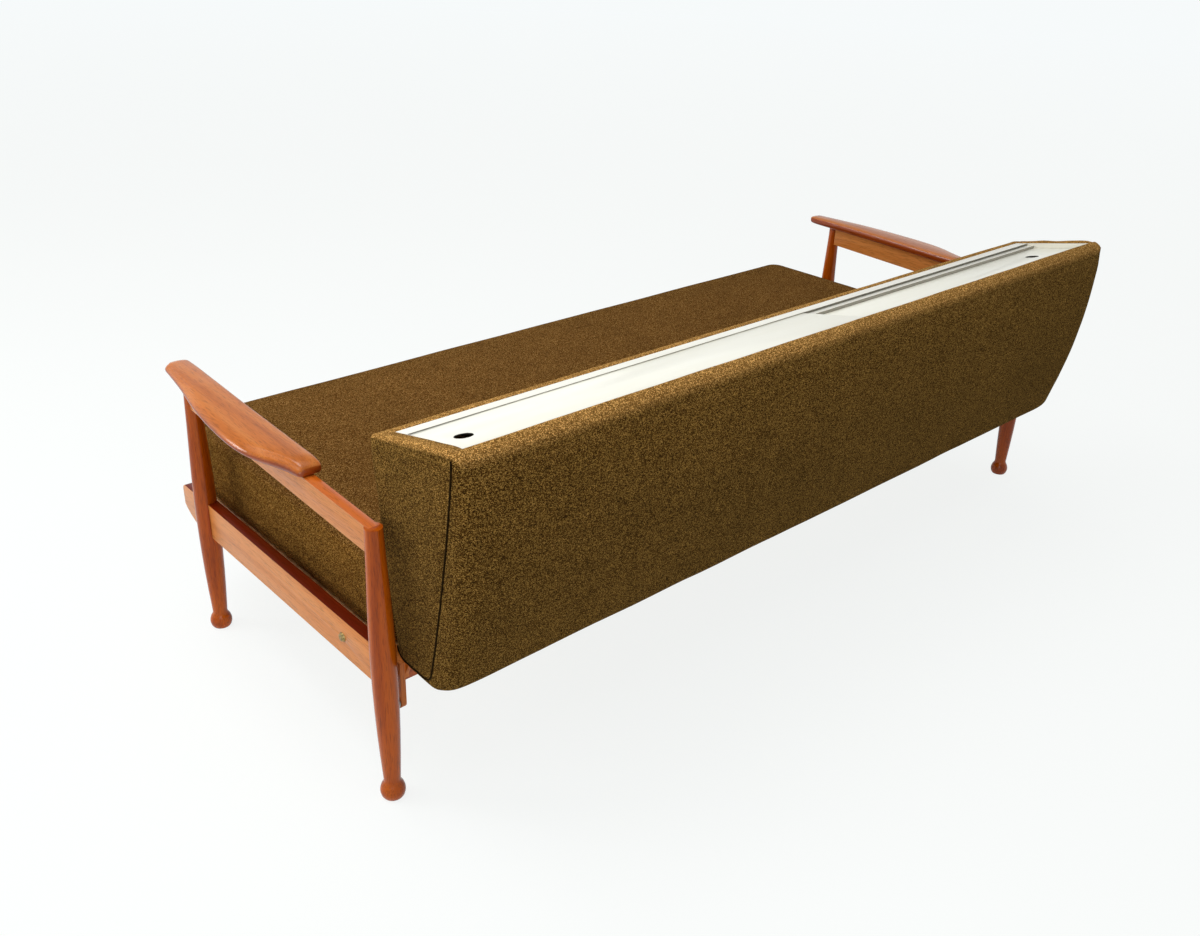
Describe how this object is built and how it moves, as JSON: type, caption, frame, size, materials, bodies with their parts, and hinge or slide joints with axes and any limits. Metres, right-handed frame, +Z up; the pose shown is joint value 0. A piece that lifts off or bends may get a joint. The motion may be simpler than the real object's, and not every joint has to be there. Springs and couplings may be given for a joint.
{
  "type": "sofa bed",
  "caption": "Sofa with paddle armrests and turned legs whose back box, with sliding lids, swings down behind the seat to make a single bed.",
  "frame": {"origin": "on the floor below the middle of the object's bounding box, in the bed pose", "axes": "+Z up, +Y to the rear, where the back box is, and +X to the left armrest of a person who stands behind it and looks at it"},
  "size_m": [2.081, 0.9885, 0.6893],
  "materials": {
    "teak": "satin oiled",
    "tweed": "woven, olive and black",
    "white_laminate": "satin",
    "board": "raw",
    "brass": "worn",
    "steel": "plain"
  },
  "bodies": {
    "frame": {"rear_leg_left": "teak", "rear_leg_right": "teak", "front_leg_left": "teak", "front_leg_right": "teak", "lower_rail_left": "teak", "lower_rail_right": "teak", "upper_rail_left": "teak", "upper_rail_right": "teak", "armrest_left": "teak", "armrest_right": "teak", "base_front_rail": "teak", "base_rear_rail": "teak", "base_end_left": "teak", "base_end_right": "teak", "base_bearer_left": "teak", "base_bearer_right": "teak", "base_deck": "board", "side_cleats_left": "teak", "side_cleats_right": "teak", "mattress": "tweed", "pivot_bolts": "brass", "pivot_spacers": "steel"},
    "links": {"link_left": "steel", "link_right": "steel"},
    "back_box": {"hanger_left": "teak", "hanger_right": "teak", "hanger_bolts": "steel", "hanger_screws": "steel", "box_front_board": "board", "box_rear_board": "board", "box_bottom_board": "board", "box_end_left": "board", "box_end_right": "board", "front_cover": "tweed", "rear_cover": "tweed", "end_cover_left": "tweed", "end_cover_right": "tweed", "front_track": "white_laminate", "rear_track": "white_laminate", "end_trim_left": "white_laminate", "end_trim_right": "white_laminate", "track_screws": "steel"},
    "lid_left": {"lid_left": "white_laminate"},
    "lid_right": {"lid_right": "white_laminate"}
  },
  "joints": [
    {"name": "link_swing", "type": "hinge", "parent": "frame", "child": "links", "pos_m": [0, 0.201, 0.257], "axis": [1, 0, 0], "range_deg": [0, 158]},
    {"name": "back_tilt", "type": "hinge", "parent": "links", "child": "back_box", "pos_m": [0, 0.311, 0.173], "axis": [1, 0, 0], "range_deg": [-170.1, 0]},
    {"name": "lid_left_slide", "type": "slide", "parent": "back_box", "child": "lid_left", "axis": [-1, 0, 0], "range_m": [0, 0.86]},
    {"name": "lid_right_slide", "type": "slide", "parent": "back_box", "child": "lid_right", "axis": [1, 0, 0], "range_m": [0, 0.86]}
  ],
  "couplings": [
    {"joint": "back_tilt", "follows": "link_swing", "ratio": -1.0759}
  ]
}
